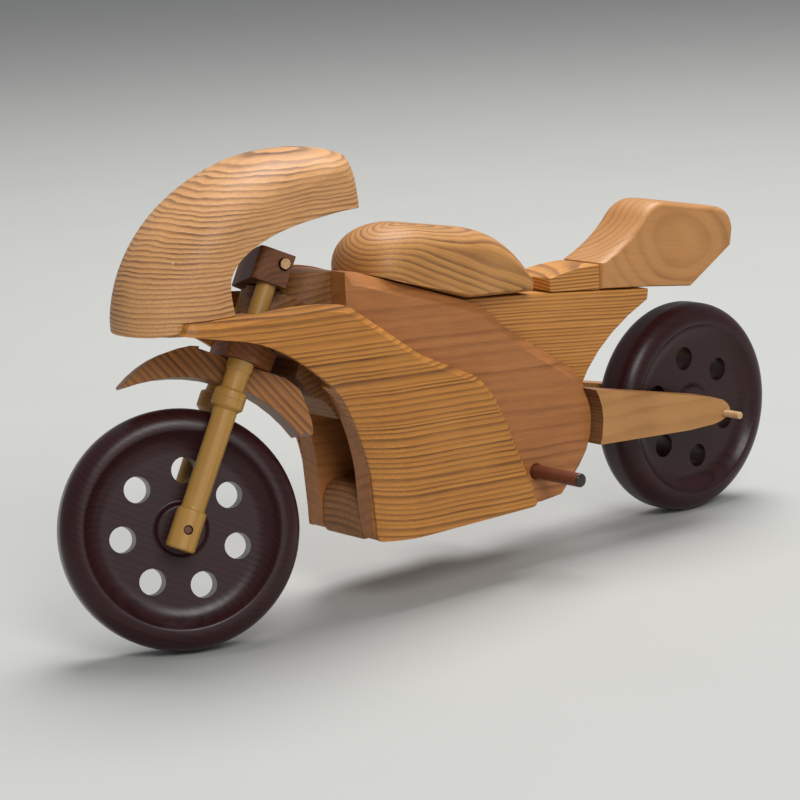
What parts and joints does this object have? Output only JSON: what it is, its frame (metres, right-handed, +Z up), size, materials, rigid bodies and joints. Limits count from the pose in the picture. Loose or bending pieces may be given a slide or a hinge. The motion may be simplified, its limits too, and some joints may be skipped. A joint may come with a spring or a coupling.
{
  "type": "wooden toy racing motorcycle",
  "caption": "Handmade wooden racing motorcycle: layered board body, steering fork with turned legs, curved nose cowl and freely turning drilled wheels",
  "frame": {"origin": "on the ground, under the middle of the toy's box as it stands with the fork turned", "axes": "-X points ahead, -Y is the rider's left, +Z is up"},
  "size_m": [0.3932, 0.102, 0.2008],
  "materials": {
    "pine": "clear satin, strong lengthwise growth lines",
    "orange_pine": "clear satin, wavy growth lines",
    "pale_pine": "clear satin, faint growth lines",
    "brown_pine": "brown stain over straight grain",
    "cherry": "clear satin over fine red-brown grain",
    "brown_block": "matt brown, end grain and saw marks",
    "dark_wood": "dark brown stain, slightly rough",
    "turned_leg": "satin, turned smooth",
    "pale_dowel": "bare, matt",
    "dark_dowel": "dark stain, matt",
    "red_dowel": "burgundy stain, semi-gloss",
    "wheel_stain": "maroon-black stain, satin"
  },
  "bodies": {
    "frame": {"head_block": "brown_block", "frame_plank": "pine", "belly_block": "brown_block", "engine_plate_left": "cherry", "engine_plate_right": "cherry", "fairing_left": "pine", "fairing_right": "pine", "footpeg_left": "red_dowel", "footpeg_right": "red_dowel", "swingarm_left": "pale_pine", "swingarm_right": "pale_pine", "nose_cowl": "orange_pine", "tank": "orange_pine", "seat_pad": "pine", "tail_hump": "pale_pine", "rear_axle": "pale_dowel"},
    "fork": {"steering_pin": "pale_dowel", "lower_yoke": "dark_wood", "upper_yoke": "dark_wood", "handlebar_stub_left": "red_dowel", "handlebar_stub_right": "red_dowel", "fork_leg_left": "turned_leg", "fork_leg_right": "turned_leg", "front_axle": "dark_dowel", "front_mudguard": "brown_pine"},
    "front_wheel": {"front_wheel": "wheel_stain"},
    "rear_wheel": {"rear_wheel": "wheel_stain"}
  },
  "joints": [
    {"name": "steering", "type": "hinge", "parent": "frame", "child": "fork", "pos_m": [-0.14363, 0, 0.04658], "axis": [0.4617, 0, 0.887], "range_deg": [-3, 61]},
    {"name": "front_wheel_spin", "type": "hinge", "parent": "fork", "child": "front_wheel", "pos_m": [-0.14945, 0.00364, 0.04961], "axis": [0.43, 0.8746, -0.2239], "continuous": true},
    {"name": "rear_wheel_spin", "type": "hinge", "parent": "frame", "child": "rear_wheel", "pos_m": [0.14662, 0, 0.05], "axis": [0, 1, 0], "continuous": true}
  ]
}
